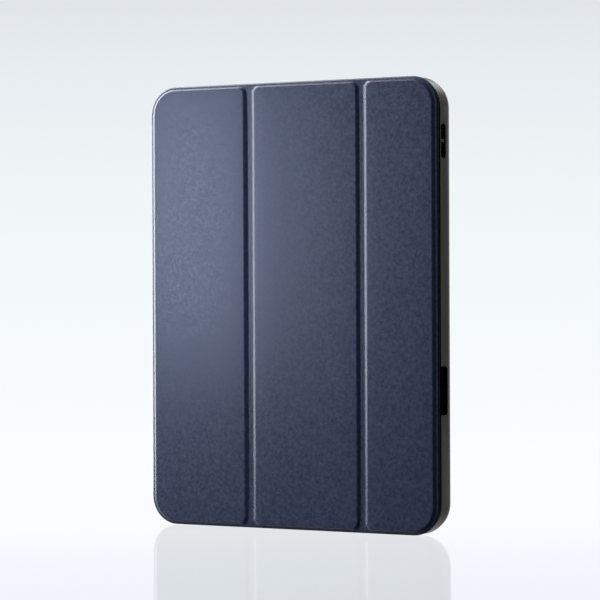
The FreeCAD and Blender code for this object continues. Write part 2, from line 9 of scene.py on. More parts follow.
import bmesh
import bpy
from mathutils import Matrix, Vector
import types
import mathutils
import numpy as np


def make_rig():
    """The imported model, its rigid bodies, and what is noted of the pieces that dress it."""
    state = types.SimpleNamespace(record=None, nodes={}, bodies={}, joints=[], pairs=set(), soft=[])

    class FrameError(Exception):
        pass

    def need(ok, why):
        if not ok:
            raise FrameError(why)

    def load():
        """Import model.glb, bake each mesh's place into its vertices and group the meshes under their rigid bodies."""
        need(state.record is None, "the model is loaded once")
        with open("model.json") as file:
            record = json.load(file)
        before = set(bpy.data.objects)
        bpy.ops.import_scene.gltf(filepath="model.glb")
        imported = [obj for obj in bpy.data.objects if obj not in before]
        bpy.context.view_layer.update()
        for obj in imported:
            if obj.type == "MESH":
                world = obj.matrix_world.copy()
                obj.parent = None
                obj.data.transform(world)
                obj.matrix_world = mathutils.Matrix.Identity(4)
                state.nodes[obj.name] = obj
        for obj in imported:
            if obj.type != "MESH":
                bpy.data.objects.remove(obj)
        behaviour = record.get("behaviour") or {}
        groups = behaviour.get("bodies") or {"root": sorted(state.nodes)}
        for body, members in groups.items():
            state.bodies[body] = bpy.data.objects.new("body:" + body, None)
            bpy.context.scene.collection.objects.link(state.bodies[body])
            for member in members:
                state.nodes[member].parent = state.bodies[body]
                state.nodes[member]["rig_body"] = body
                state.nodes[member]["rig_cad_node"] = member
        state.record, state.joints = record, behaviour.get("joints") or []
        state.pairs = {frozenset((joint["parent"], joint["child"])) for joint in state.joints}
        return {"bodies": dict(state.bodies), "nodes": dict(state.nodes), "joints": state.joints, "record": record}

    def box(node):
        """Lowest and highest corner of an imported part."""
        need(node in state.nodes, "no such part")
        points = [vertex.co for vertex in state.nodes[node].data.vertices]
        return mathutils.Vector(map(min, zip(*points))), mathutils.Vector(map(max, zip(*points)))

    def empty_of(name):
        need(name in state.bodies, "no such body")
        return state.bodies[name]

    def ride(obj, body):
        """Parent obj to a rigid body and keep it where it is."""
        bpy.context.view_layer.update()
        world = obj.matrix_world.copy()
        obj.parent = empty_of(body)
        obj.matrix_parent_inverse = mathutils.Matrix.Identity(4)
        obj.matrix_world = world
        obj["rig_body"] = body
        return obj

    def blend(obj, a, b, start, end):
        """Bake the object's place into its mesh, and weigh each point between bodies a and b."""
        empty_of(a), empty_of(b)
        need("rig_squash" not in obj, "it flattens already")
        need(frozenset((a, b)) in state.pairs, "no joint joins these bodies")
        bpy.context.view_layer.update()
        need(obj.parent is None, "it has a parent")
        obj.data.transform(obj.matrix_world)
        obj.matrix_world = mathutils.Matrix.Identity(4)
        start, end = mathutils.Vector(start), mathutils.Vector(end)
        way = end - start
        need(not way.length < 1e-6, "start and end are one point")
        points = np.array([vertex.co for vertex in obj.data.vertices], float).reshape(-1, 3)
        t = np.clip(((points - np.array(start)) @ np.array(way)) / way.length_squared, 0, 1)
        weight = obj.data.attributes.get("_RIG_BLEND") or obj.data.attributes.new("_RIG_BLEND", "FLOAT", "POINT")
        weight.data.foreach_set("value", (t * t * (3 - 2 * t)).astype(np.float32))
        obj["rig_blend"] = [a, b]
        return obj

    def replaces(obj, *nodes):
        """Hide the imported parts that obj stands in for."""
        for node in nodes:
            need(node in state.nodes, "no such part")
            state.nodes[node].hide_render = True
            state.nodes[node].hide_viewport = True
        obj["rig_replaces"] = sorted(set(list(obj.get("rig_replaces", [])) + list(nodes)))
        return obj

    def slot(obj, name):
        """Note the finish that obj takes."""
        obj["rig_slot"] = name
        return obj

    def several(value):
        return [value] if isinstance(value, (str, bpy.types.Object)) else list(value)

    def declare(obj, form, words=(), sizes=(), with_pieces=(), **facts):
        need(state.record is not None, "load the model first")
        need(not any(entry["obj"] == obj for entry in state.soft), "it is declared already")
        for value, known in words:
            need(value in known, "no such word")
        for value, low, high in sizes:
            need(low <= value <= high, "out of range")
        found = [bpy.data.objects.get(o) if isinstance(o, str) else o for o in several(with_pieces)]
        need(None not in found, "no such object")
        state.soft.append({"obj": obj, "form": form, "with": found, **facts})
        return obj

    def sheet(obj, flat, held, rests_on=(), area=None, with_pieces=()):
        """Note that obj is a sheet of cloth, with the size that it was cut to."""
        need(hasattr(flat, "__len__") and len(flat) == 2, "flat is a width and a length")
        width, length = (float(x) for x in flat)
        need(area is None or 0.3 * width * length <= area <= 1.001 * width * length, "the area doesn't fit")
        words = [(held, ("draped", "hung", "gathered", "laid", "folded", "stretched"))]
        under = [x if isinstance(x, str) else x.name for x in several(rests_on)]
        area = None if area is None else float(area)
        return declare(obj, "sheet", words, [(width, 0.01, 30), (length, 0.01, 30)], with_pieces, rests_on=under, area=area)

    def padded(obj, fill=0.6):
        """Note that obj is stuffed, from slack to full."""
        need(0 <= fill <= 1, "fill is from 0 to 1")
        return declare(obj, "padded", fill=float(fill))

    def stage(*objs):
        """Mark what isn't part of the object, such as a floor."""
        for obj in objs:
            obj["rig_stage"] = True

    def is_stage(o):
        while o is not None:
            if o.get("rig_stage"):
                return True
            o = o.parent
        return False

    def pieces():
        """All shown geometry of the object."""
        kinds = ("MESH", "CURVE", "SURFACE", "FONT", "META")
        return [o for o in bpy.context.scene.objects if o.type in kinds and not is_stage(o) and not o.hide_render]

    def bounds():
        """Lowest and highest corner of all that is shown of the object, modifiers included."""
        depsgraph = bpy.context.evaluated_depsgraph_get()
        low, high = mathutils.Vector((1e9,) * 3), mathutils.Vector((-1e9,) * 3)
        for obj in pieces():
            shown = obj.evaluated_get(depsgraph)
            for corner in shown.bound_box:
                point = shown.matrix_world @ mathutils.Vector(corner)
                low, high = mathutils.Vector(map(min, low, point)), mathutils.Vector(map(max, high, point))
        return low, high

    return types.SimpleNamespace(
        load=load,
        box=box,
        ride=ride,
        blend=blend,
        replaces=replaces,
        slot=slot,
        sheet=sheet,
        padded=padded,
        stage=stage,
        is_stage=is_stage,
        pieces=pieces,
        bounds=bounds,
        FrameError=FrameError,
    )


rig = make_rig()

MM = 0.001

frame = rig.load()
cad_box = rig.bounds()


# ---------------------------------------------------------------- sizes, most of them from the frame

def box(node):
    """A CAD node's lowest and highest corners at rest, in mm."""
    low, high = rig.box(node)
    return low / MM, high / MM


PANELS = ("panel_1", "panel_2", "panel_3")
COVER_LOW, COVER_HIGH = box("panel_1_skin")[0], box("panel_3_lining")[1]
SPINE_LOW, SPINE_HIGH = box("spine_skin")
FRONT = COVER_LOW.y
FLANGE_FRONT = box("fold_1_skin")[0].y
BOARD_FRONT = box("panel_1_board")[0].y
SKIN_REAR = box("fold_1_skin")[1].y
LINING_REAR = COVER_HIGH.y
NOTCH_X = box("front_fold_skin")[1].x    # where the first panel steps back for the spine's turn
FLANGE = NOTCH_X - COVER_LOW.x           # width over which the skin rounds off to the cover's edge

CORNER = 16.3                # the cover's outer corners
BOARD_CORNER = CORNER - (box("panel_1_board")[0].x - COVER_LOW.x)
BOARD_FOLD_CORNER = 0.6      # the boards' corners at the folds
PAD_CORNER = 4.0             # the pads' corners at the folds, at the foot of their slope
CREST_CORNERS = (CORNER - 3.0, PAD_CORNER - 0.5)    # at the top of the slope, outer and at the folds
LEAST_CORNER = 0.4           # the smallest corner left on a pad
FOLD_CORNER = 1.2            # the skin's turn along the left side
FLAP_CORNER = 6.0            # the back flap's free corners

CREST_Z = (2.5, 2.6)         # from the cover's lower and upper edge to the pads' crest
CREST_X = {"panel_1": (3.5, 2.5), "panel_2": (3.1, 1.9), "panel_3": (3.0, 4.0)}    # left, right
FOLD_REACH = (-0.45, 0.8)    # how far a slope starts past a fold's edge, right and left of the fold
REACH_FADE = 13.6            # the height over which that reach comes in, from the pads' corners
RAMP = (0.2, 0.4)            # share of a pad's slope in its foot's and its crest's turn
CROWN = ((3.0, 0.05), (7.0, 0.085), (14.0, 0.1))    # inside the crest: inset, and lift above it
CREST_FRONT = FRONT + CROWN[-1][1]
RISE = CREST_FRONT - FLANGE_FRONT

LINING_TURN = 0.25           # radius of the linings' rear edge
PRESSED_LINE = ((4.6, 0), (4.8, 0.09), (5.0, 0.12), (5.2, 0.09), (5.4, 0))    # inset and depth
LINE_CORNER = 0.3            # the pressed line's corners at the folds
FLAP_TURN = 0.5              # radius of the flap's rear edge
SPINE_CROWN = 0.12           # how far the spine's skin bulges over its board
WRAP_ROUND = 0.6             # height over which the ends of a wrapped strip thin out
WRAP_THINNED = 0.8           # share of its thickness that such an end loses

ARC = 12                     # divisions of a corner
SLOPE_STEPS = 16             # divisions of a pad's slope
FLANGE_STEPS = (0, 0.02, 0.07, 0.15, 0.27, 0.42, 0.6, 0.8, 1)    # shares of the flange's width
FOLD_ENDS = (0, 0.03, 0.12, 0.3, 0.55, 0.85, 1.4, 4)    # heights of a fold strip's first rings
WRAP_ENDS = (0, 0.02, 0.08, 0.18, 0.32, 0.6, 2)         # and of a wrapped strip's
STRAIGHT_STEPS, TURN_STEPS, TAIL_STEPS = 5, 12, 3    # divisions of the skin's turn at the left side
HALF_TURN = STRAIGHT_STEPS + TURN_STEPS // 2         # its point half-way round
PAST_HALF = 0.15             # its second strip starts to bend this far beyond that point

SHARP = math.radians(38)     # edges that turn further than this stay crisp
MERGE, SLIVER = 0.004, 0.002    # points this close are one, and faces this thin are dropped
CLOSE = 0.01                 # points this close to a line lie on it


# ---------------------------------------------------------------- mesh helpers

def finish_mesh(bm, name):
    """Merges doubles, turns the faces outward, and makes a smooth-shaded object with sharp creases."""
    bmesh.ops.remove_doubles(bm, verts=bm.verts, dist=MERGE * MM)
    bmesh.ops.dissolve_degenerate(bm, edges=bm.edges, dist=SLIVER * MM)
    bmesh.ops.recalc_face_normals(bm, faces=bm.faces)
    for face in bm.faces:
        face.smooth = True
    for edge in bm.edges:
        edge.smooth = len(edge.link_faces) == 2 and edge.calc_face_angle(0) < SHARP
    mesh = bpy.data.meshes.new(name)
    bm.to_mesh(mesh)
    bm.free()
    return add_object(name, mesh)


def add_object(name, data):
    """A new object of the scene with that mesh, lamp or camera."""
    obj = bpy.data.objects.new(name, data)
    bpy.context.scene.collection.objects.link(obj)
    return obj


def loft(name, rings):
    """A closed body through rings of (x, y, z) in mm, with as many points each, capped at both ends."""
    bm = bmesh.new()
    rows = [[bm.verts.new(Vector(p) * MM) for p in ring] for ring in rings]
    for low, high in zip(rows, rows[1:]):
        for i in range(len(low)):
            j = (i + 1) % len(low)
            bm.faces.new((low[i], low[j], high[j], high[i]))
    bm.faces.new(rows[0])
    bm.faces.new(rows[-1])
    return finish_mesh(bm, name)


def spaced(low, high, parts):
    """Values from low to high, both included, that divide the way into equal parts."""
    return [low + (high - low) * k / parts for k in range(parts + 1)]


def ring_heights(low, high, ends, parts):
    """Heights from low to high, close together at both ends and evenly spaced between."""
    return [low + e for e in ends] + spaced(low, high, parts)[1:-1] + [high - e for e in reversed(ends)]


def outline(low, high, radii, notch=None):
    """Points (x, z) round a rectangle from its lower left corner, with a radius per corner.

    The left side steps in to the notch's x over the spine's height."""
    (x0, z0), (x1, z1) = low, high
    heights = [SPINE_LOW.z, *spaced(SPINE_LOW.z, SPINE_HIGH.z, 5), SPINE_HIGH.z]
    left = [(x0 if notch is None else notch, z) for z in heights]
    left[0], left[-1] = (x0, heights[0]), (x0, heights[-1])
    middle = spaced(x0, x1, 8)[3:6]     # points about the middle of the lower and upper side
    sides = ([(x, z0) for x in middle], [(x1, z) for z in heights],
             [(x, z1) for x in reversed(middle)], left[::-1])
    corners = ((x0, z0, 1, 1), (x1, z0, -1, 1), (x1, z1, -1, -1), (x0, z1, 1, -1))
    points = []
    for k, ((x, z, way_x, way_z), radius, side) in enumerate(zip(corners, radii, sides)):
        for i in range(ARC + 1):
            turn = math.radians(180 + 90 * (k + i / ARC))
            points.append((x + radius * (way_x + math.cos(turn)), z + radius * (way_z + math.sin(turn))))
        points += side
    return points


def between(a, b, t):
    """The points a share t of the way from a's to b's."""
    return [(p[0] + (q[0] - p[0]) * t, p[1] + (q[1] - p[1]) * t) for p, q in zip(a, b)]


def level(points, y):
    """A ring of (x, z) points at one depth."""
    return [(x, y, z) for x, z in points]


def rounded_rear(radius, rear, parts):
    """(inset, y) pairs along an edge that is rounded towards the rear."""
    angles = spaced(0, math.pi / 2, parts)
    return [(radius * (1 - math.cos(a)), rear - radius * (1 - math.sin(a))) for a in angles]


def corner_radii(first, last, free, fold):
    """Radii from the lower left corner round, for a panel whose left or right side is free."""
    left = free if first else fold
    right = free if last else fold
    return left, right, right, left


# ---------------------------------------------------------------- the cover's surface, as formulas

def soft_ramp(t):
    """0 at the foot to 1 at the crest, with a rounded foot and a rounder crest."""
    foot, crest = RAMP
    rise = 1 / (1 - foot / 2 - crest / 2)
    if t < foot:
        return rise * t * t / (2 * foot)
    if t > 1 - crest:
        return 1 - rise * (1 - t) ** 2 / (2 * crest)
    return rise * (t - foot / 2)


def flange_level(x, z):
    """The skin's front where it rounds off to the cover's edge."""
    mid = (COVER_LOW + COVER_HIGH) / 2
    half = (COVER_HIGH - COVER_LOW) / 2
    past_x = abs(x - mid.x) - (half.x - CORNER)
    past_z = abs(z - mid.z) - (half.z - CORNER)
    inside = CORNER - math.hypot(max(past_x, 0), max(past_z, 0)) - min(max(past_x, past_z), 0)
    share = max(0.0, min(1.0, inside / FLANGE))
    return SKIN_REAR + (FLANGE_FRONT - SKIN_REAR) * math.sqrt(1 - (1 - share) ** 2)


def reach_at(z, reach):
    """A slope's reach past the fold's edge, which fades towards the cover's upper and lower edge."""
    edge = min(z - COVER_LOW.z, COVER_HIGH.z - z) - FLANGE - PAD_CORNER
    return reach * max(0.0, min(1.0, edge / REACH_FADE))


def slope_share(way, width, reach):
    """How far up a slope of that width a point is, way being its distance from the fold's edge."""
    return max(0.0, (way + reach) / (width + reach))


# ---------------------------------------------------------------- the cover's pieces

def panel_skin(panel):
    """The skin over a panel's board: rounded flange, soft slope, slightly crowned pad."""
    low, high = box(f"{panel}_skin")
    board_low, board_high = box(f"{panel}_board")
    first, last = panel == PANELS[0], panel == PANELS[-1]
    left, right = CREST_X[panel]
    board = outline((board_low.x, board_low.z), (board_high.x, board_high.z),
                    corner_radii(first, last, BOARD_CORNER, BOARD_FOLD_CORNER))
    outer = outline((low.x, low.z), (high.x, high.z), corner_radii(first, last, CORNER, 0.0),
                    NOTCH_X if first else None)
    foot = outline((low.x + FLANGE * first, low.z + FLANGE), (high.x - FLANGE * last, high.z - FLANGE),
                   corner_radii(first, last, CORNER - FLANGE, PAD_CORNER))

    def pad(inset):
        radii = [max(r - inset, LEAST_CORNER) for r in corner_radii(first, last, *CREST_CORNERS)]
        return outline((low.x + left + inset, low.z + CREST_Z[0] + inset),
                       (high.x - right - inset, high.z - CREST_Z[1] - inset), radii)

    rings = [level(board, BOARD_FRONT), level(board, SKIN_REAR), level(outer, SKIN_REAR)]
    for t in FLANGE_STEPS:
        rings.append([(x, flange_level(x, z), z) for x, z in between(outer, foot, t)])
    crest = pad(0)
    for t in spaced(0, 1, SLOPE_STEPS):
        ring = []
        for (foot_x, foot_z), (x, z) in zip(foot, between(foot, crest, t)):
            share = t
            if not first and foot_x < low.x + CLOSE:
                share = slope_share(t * left, left, reach_at(foot_z, FOLD_REACH[0]))
            if not last and foot_x > high.x - CLOSE:
                share = slope_share(t * right, right, reach_at(foot_z, FOLD_REACH[1]))
            ring.append((x, FLANGE_FRONT + RISE * soft_ramp(share), z))
        rings.append(ring)
    for inset, lift in CROWN:
        rings.append(level(pad(inset), CREST_FRONT - lift))
    return loft(f"{panel}_cover_skin", rings)


def panel_lining(panel):
    """The microfibre sheet behind a panel, with a rounded edge and a pressed line along it."""
    low, high = box(f"{panel}_lining")
    first, last = panel == PANELS[0], panel == PANELS[-1]

    def ring(inset, y, fold_inset):
        least = LINE_CORNER if fold_inset else 0.0
        radii = [max(r - inset, least) for r in corner_radii(first, last, CORNER, 0.0)]
        notch = NOTCH_X + inset if first and inset < FLANGE else None
        return level(outline((low.x + (inset if first else fold_inset), low.z + inset),
                             (high.x - (inset if last else fold_inset), high.z - inset), radii, notch), y)

    rings = [ring(0, SKIN_REAR, 0)]
    rings += [ring(inset, y, 0) for inset, y in rounded_rear(LINING_TURN, LINING_REAR, 4)]
    rings += [ring(inset, LINING_REAR - depth, inset) for inset, depth in PRESSED_LINE]
    return loft(f"{panel}_inner_lining", rings)


def strip(name, x0, x1, front, rear):
    """A strip between two panels, x0 to x1, whose front and rear are functions of (x, z)."""
    across = spaced(x0, x1, 10)
    rings = []
    for z in ring_heights(COVER_LOW.z, COVER_HIGH.z, FOLD_ENDS, 16):
        rings.append([(x, front(x, z), z) for x in across] + [(x, rear(x, z), z) for x in across[::-1]])
    return loft(name, rings)


def fold_strip(fold, panel):
    """The skin and lining of the fold right of a panel, whose slope runs out on the skin."""
    low, high = box(f"{fold}_skin")
    width = CREST_X[panel][1]

    def skin_front(x, z):
        share = slope_share(low.x - x, width, reach_at(z, FOLD_REACH[1]))
        return flange_level(x, z) + RISE * soft_ramp(share)

    def skin_rear(_, z):
        return SKIN_REAR

    def lining_rear(_, z):
        edge = min(z - COVER_LOW.z, COVER_HIGH.z - z, LINING_TURN)
        return LINING_REAR - LINING_TURN + math.sqrt(max(0.0, LINING_TURN ** 2 - (LINING_TURN - edge) ** 2))

    skin = strip(f"{fold}_cover_skin", low.x, high.x, skin_front, skin_rear)
    lining = strip(f"{fold}_inner_lining", low.x, high.x, skin_rear, lining_rear)
    return skin, lining


# ---------------------------------------------------------------- the spine, its turns and the flap

def wrap(name, outer, inner):
    """A strip along the left side: a cross-section of outer and inner (x, y) points, with rounded ends."""
    low, high = SPINE_LOW.z, SPINE_HIGH.z
    rings = []
    for z in ring_heights(low, high, WRAP_ENDS, 10):
        edge = min(z - low, high - z, WRAP_ROUND) / WRAP_ROUND
        thinned = WRAP_THINNED * (1 - math.sqrt(max(0.0, 1 - (1 - edge) ** 2)))
        rings.append([(x, y, z) for x, y in between(outer, inner, thinned) + inner[::-1]])
    return loft(name, rings)


def spine_plate(name, x0, x1, crown):
    """The spine's skin or lining, slightly crowned over the board."""
    steps = 12
    outer, inner = [], []
    for k, y in enumerate(spaced(SPINE_LOW.y, SPINE_HIGH.y, steps)):
        across = 2 * k / steps - 1
        outer.append((x0 - crown * (1 - across ** 4), y))
        inner.append((x1, y))
    return wrap(name, outer, inner)


def turn_path(y_side, y_end, x_end, radius):
    """Points (x, y) along the side from y_side, round the corner to the level y_end, and on to x_end."""
    way = 1 if y_end > y_side else -1
    x, y = COVER_LOW.x + FOLD_CORNER, y_end - way * FOLD_CORNER
    straight = [(x - radius, level_y) for level_y in spaced(y_side, y, STRAIGHT_STEPS)[:-1]]
    angles = spaced(0, math.pi / 2, TURN_STEPS)
    arc = [(x - radius * math.cos(a), y + way * radius * math.sin(a)) for a in angles]
    tail = [(tail_x, y + way * radius) for tail_x in spaced(x, x_end, TAIL_STEPS)[1:]]
    return straight + arc + tail


def side_turn(y_side, y_end, x_end):
    """Outer skin, skin and lining boundaries of the turn at the front or the back of the spine."""
    skin = SPINE_HIGH.x - SPINE_LOW.x
    lining = LINING_REAR - SKIN_REAR
    way = 1 if y_end > y_side else -1
    outer = turn_path(y_side, y_end, x_end, FOLD_CORNER)
    middle = turn_path(y_side, y_end, x_end, FOLD_CORNER - skin)
    corner_x, corner_y = COVER_LOW.x + skin + lining, y_end - way * (skin + lining)
    limit = min if way > 0 else max
    inner = [(max(x, corner_x), limit(y, corner_y)) for x, y in middle]
    return outer, middle, inner


def flap_plate():
    """The margin of skin bonded on the tray's back, with a rounded free edge."""
    low, high = box("back_flap_skin")

    def ring(inset, y):
        radii = [0.0, FLAP_CORNER - inset, FLAP_CORNER - inset, 0.0]
        return level(outline((low.x, low.z + inset), (high.x - inset, high.z - inset), radii), y)

    rings = [ring(0, low.y)] + [ring(inset, y) for inset, y in rounded_rear(FLAP_TURN, high.y, 5)]
    return loft("back_flap_cover_skin", rings)


# ---------------------------------------------------------------- refined copies of CAD shapes

def refined(node, name, width, segments=2):
    """A copy of a CAD node's shape with its edges rounded off."""
    flat, edged = math.radians(0.6), math.radians(35)
    bm = bmesh.new()
    bm.from_mesh(frame["nodes"][node].data)
    bmesh.ops.remove_doubles(bm, verts=bm.verts, dist=SLIVER * MM)
    bmesh.ops.dissolve_limit(bm, angle_limit=flat, verts=bm.verts, edges=bm.edges)
    edges = [e for e in bm.edges if len(e.link_faces) == 2 and e.calc_face_angle(0) > edged]
    bmesh.ops.bevel(bm, geom=edges, offset=width * MM, segments=segments, profile=0.5,
                    affect="EDGES", clamp_overlap=True, miter_outer="ARC")
    return finish_mesh(bm, name)


# ---------------------------------------------------------------- node helpers

def set_inputs(tree, node, values):
    """Links a socket, or sets a plain value, for each input of a node."""
    for key, value in values.items():
        if isinstance(value, bpy.types.NodeSocket):
            tree.links.new(value, node.inputs[key])
        else:
            node.inputs[key].default_value = value


def add_node(tree, kind, values, **settings):
    """A new node of a tree, with its settings and inputs."""
    node = tree.nodes.new(f"ShaderNode{kind}")
    for key, value in settings.items():
        setattr(node, key, value)
    set_inputs(tree, node, values)
    return node


def new_material(name):
    """A material, its tree, its shader and the object's coordinates in metres."""
    mat = bpy.data.materials.new(name)
    mat.use_nodes = True
    tree = mat.node_tree
    return mat, tree, tree.nodes["Principled BSDF"], add_node(tree, "TexCoord", {}).outputs["Object"]


def noise(tree, vector, scale, detail=3.0, rough=0.5):
    """Noise about 0.5. A scale of three numbers stretches it, as for brushed marks."""
    if isinstance(scale, tuple):
        vector = add_node(tree, "Mapping", {"Vector": vector, "Scale": scale}).outputs["Vector"]
        scale = 1.0
    values = {"Vector": vector, "Scale": scale, "Detail": detail, "Roughness": rough}
    return add_node(tree, "TexNoise", values).outputs["Fac"]


def cells(tree, vector, scale, feature="F1"):
    """Distance from the nearest of many scattered points, for pebbles and bubbles."""
    values = {"Vector": vector, "Scale": scale}
    return add_node(tree, "TexVoronoi", values, feature=feature).outputs["Distance"]


def spread(tree, value, low, high, start=0.0, end=1.0):
    """The value moved from the range start to end to the range low to high."""
    values = {"Value": value, "From Min": start, "From Max": end, "To Min": low, "To Max": high}
    return add_node(tree, "MapRange", values).outputs["Result"]


def sum_of(tree, a, b, share):
    """The value a plus a share of the value b."""
    return add_node(tree, "Math", {0: b, 1: share, 2: a}, operation="MULTIPLY_ADD").outputs[0]


def along(tree, vector, direction):
    """How far a vector reaches in a direction."""
    node = add_node(tree, "VectorMath", {0: vector, 1: direction}, operation="DOT_PRODUCT")
    return node.outputs["Value"]


def ramp(tree, value, stops):
    """A colour for a value from 0 to 1; stops are (value, colour)."""
    node = add_node(tree, "ValToRGB", {"Fac": value})
    elements = node.color_ramp.elements
    while len(elements) < len(stops):
        elements.new(0.5)
    for element, (position, color) in zip(elements, stops):
        element.position = position
        element.color = (*color, 1)
    return node.outputs["Color"]


def bump(tree, bsdf, height, depth, strength):
    """Relief of a depth in mm on the shader's surface."""
    values = {"Height": height, "Distance": depth * MM, "Strength": strength}
    set_inputs(tree, bsdf, {"Normal": add_node(tree, "Bump", values).outputs["Normal"]})


# ---------------------------------------------------------------- materials

def skin_material():
    """Navy synthetic leather: fine pebbled grain, faint mottling, satin."""
    mat, tree, bsdf, where = new_material("navy_skin")
    pebbles = cells(tree, where, 1150, "SMOOTH_F1")
    fine = noise(tree, where, 2600, 2.0)
    patches = noise(tree, where, 520, 3.0, 0.6)
    shade = sum_of(tree, patches, pebbles, 0.25)
    bump(tree, bsdf, sum_of(tree, pebbles, fine, 0.35), 0.020, 0.30)
    set_inputs(tree, bsdf, {
        "Base Color": ramp(tree, shade, ((0.38, (0.028, 0.038, 0.074)), (0.82, (0.053, 0.070, 0.124)))),
        "Roughness": spread(tree, patches, 0.28, 0.40, 0.3, 0.7),
        "Specular IOR Level": 0.5,
        "Sheen Weight": 0.04})
    return mat


def microfibre_material():
    """Charcoal brushed microfibre with a short nap."""
    mat, tree, bsdf, where = new_material("charcoal_microfibre")
    nap = noise(tree, where, (900, 900, 2600), 3.0, 0.7)
    brushed = noise(tree, where, (130, 130, 60), 3.0, 0.6)
    shade = sum_of(tree, brushed, nap, 0.5)
    bump(tree, bsdf, sum_of(tree, nap, cells(tree, where, 2100), 0.4), 0.06, 0.6)
    set_inputs(tree, bsdf, {
        "Base Color": ramp(tree, shade, ((0.45, (0.022, 0.025, 0.031)), (1.0, (0.040, 0.044, 0.053)))),
        "Roughness": 0.95,
        "Specular IOR Level": 0.2,
        "Sheen Weight": 0.12,
        "Sheen Roughness": 0.45})
    return mat


def tray_material():
    """Moulded smoke-brown plastic: fine spark texture, satin, slightly cloudy."""
    mat, tree, bsdf, where = new_material("smoke_tray")
    spark = noise(tree, where, 3800, 2.0, 0.6)
    cloud = noise(tree, where, 160, 4.0, 0.6)
    bump(tree, bsdf, spark, 0.012, 0.5)
    set_inputs(tree, bsdf, {
        "Base Color": ramp(tree, cloud, ((0.3, (0.054, 0.0405, 0.0290)), (0.7, (0.063, 0.0475, 0.0345)))),
        "Roughness": spread(tree, cloud, 0.36, 0.40, 0.3, 0.7),
        "Specular IOR Level": 0.28,
        "Specular Tint": (1.0, 0.86, 0.62, 1)})
    return mat


def ring_material():
    """Polished black plastic with faint polishing marks."""
    mat, tree, bsdf, where = new_material("polished_ring")
    marks = noise(tree, where, (300, 300, 2400), 2.0)
    bump(tree, bsdf, marks, 0.002, 0.3)
    set_inputs(tree, bsdf, {
        "Base Color": ramp(tree, marks, ((0.0, (0.012, 0.012, 0.013)), (1.0, (0.022, 0.022, 0.024)))),
        "Roughness": spread(tree, marks, 0.08, 0.16),
        "Coat Weight": 0.5})
    return mat


def foam_material():
    """Closed-cell foam, dark grey."""
    mat, tree, bsdf, where = new_material("cell_foam")
    bubbles = cells(tree, where, 1400)
    bump(tree, bsdf, bubbles, 0.15, 0.8)
    set_inputs(tree, bsdf, {
        "Base Color": ramp(tree, bubbles, ((0.0, (0.035, 0.035, 0.037)), (0.6, (0.085, 0.085, 0.088)))),
        "Roughness": 0.9})
    return mat


def board_material():
    """Raw fibre board with long flecks."""
    mat, tree, bsdf, where = new_material("fibre_board")
    flecks = noise(tree, where, (220, 900, 90), 4.0, 0.7)
    bump(tree, bsdf, flecks, 0.05, 0.6)
    set_inputs(tree, bsdf, {
        "Base Color": ramp(tree, flecks, ((0.3, (0.20, 0.18, 0.15)), (0.7, (0.40, 0.37, 0.31)))),
        "Roughness": 0.85})
    return mat


def tape_material():
    """Double-sided film with a faint scrim in its adhesive."""
    mat, tree, bsdf, where = new_material("bonding_tape")
    scrim = noise(tree, where, (1500, 1500, 300), 1.0)
    bump(tree, bsdf, scrim, 0.02, 0.4)
    set_inputs(tree, bsdf, {
        "Base Color": ramp(tree, scrim, ((0.3, (0.60, 0.58, 0.50)), (0.7, (0.76, 0.74, 0.66)))),
        "Roughness": spread(tree, scrim, 0.25, 0.4)})
    return mat


def magnet_material():
    """Nickel plate, finely brushed."""
    mat, tree, bsdf, where = new_material("nickel_plate")
    brushed = noise(tree, where, (2400, 2400, 160), 3.0, 0.6)
    bump(tree, bsdf, brushed, 0.004, 0.4)
    set_inputs(tree, bsdf, {
        "Base Color": ramp(tree, brushed, ((0.0, (0.50, 0.50, 0.51)), (1.0, (0.68, 0.68, 0.70)))),
        "Roughness": spread(tree, brushed, 0.2, 0.34),
        "Metallic": 1.0})
    return mat


MATERIALS = {
    "skin": skin_material(),
    "microfibre": microfibre_material(),
    "tray": tray_material(),
    "ring": ring_material(),
    "cushion": foam_material(),
    "board": board_material(),
    "tape": tape_material(),
    "magnet": magnet_material(),
}


# ---------------------------------------------------------------- putting the pieces in place

def dress(obj, slot, *nodes):
    """Gives a new piece its material and slot, and lets it stand for CAD nodes."""
    obj.data.materials.clear()
    obj.data.materials.append(MATERIALS[slot])
    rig.slot(obj, slot)
    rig.replaces(obj, *nodes)
    return obj


def place(obj, slot, body, *nodes):
    """Dresses a piece that moves with one body."""
    dress(obj, slot, *nodes)
    flat = obj.modifiers.new("flat_faces", "WEIGHTED_NORMAL")
    flat.keep_sharp = True
    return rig.ride(obj, body)


def bend(obj, slot, bodies, start, end, *nodes):
    """Dresses a piece that bends from one body at start to the other at end, both (x, y) in mm."""
    dress(obj, slot, *nodes)
    mid = (COVER_LOW.z + COVER_HIGH.z) / 2
    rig.blend(obj, *bodies, start=Vector((*start, mid)) * MM, end=Vector((*end, mid)) * MM)
    return obj


def flat_size(low, high):
    """Width and height of a flat sheet, in metres."""
    return (high.x - low.x) * MM, (high.z - low.z) * MM


def build_cover():
    """The three padded panels, their linings, and the folds between them."""
    linings = {}
    for panel in PANELS:
        skin = place(panel_skin(panel), "skin", panel, f"{panel}_skin")
        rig.padded(skin, 1.0)
        linings[panel] = place(panel_lining(panel), "microfibre", panel, f"{panel}_lining")
    strips = {}
    for fold, bodies in (("fold_1", PANELS[:2]), ("fold_2", PANELS[1:])):
        low, high = box(f"{fold}_skin")
        start, end = (low.x, LINING_REAR), (high.x, LINING_REAR)
        skin, lining = fold_strip(fold, bodies[0])
        bend(skin, "skin", bodies, start, end, f"{fold}_skin")
        strips[bodies[0]] = [bend(lining, "microfibre", bodies, start, end, f"{fold}_lining")]
    for panel, lining in linings.items():
        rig.sheet(lining, flat=flat_size(*box(f"{panel}_lining")), held="stretched",
                 rests_on=[f"{panel}_board"], with_pieces=strips.get(panel, []))


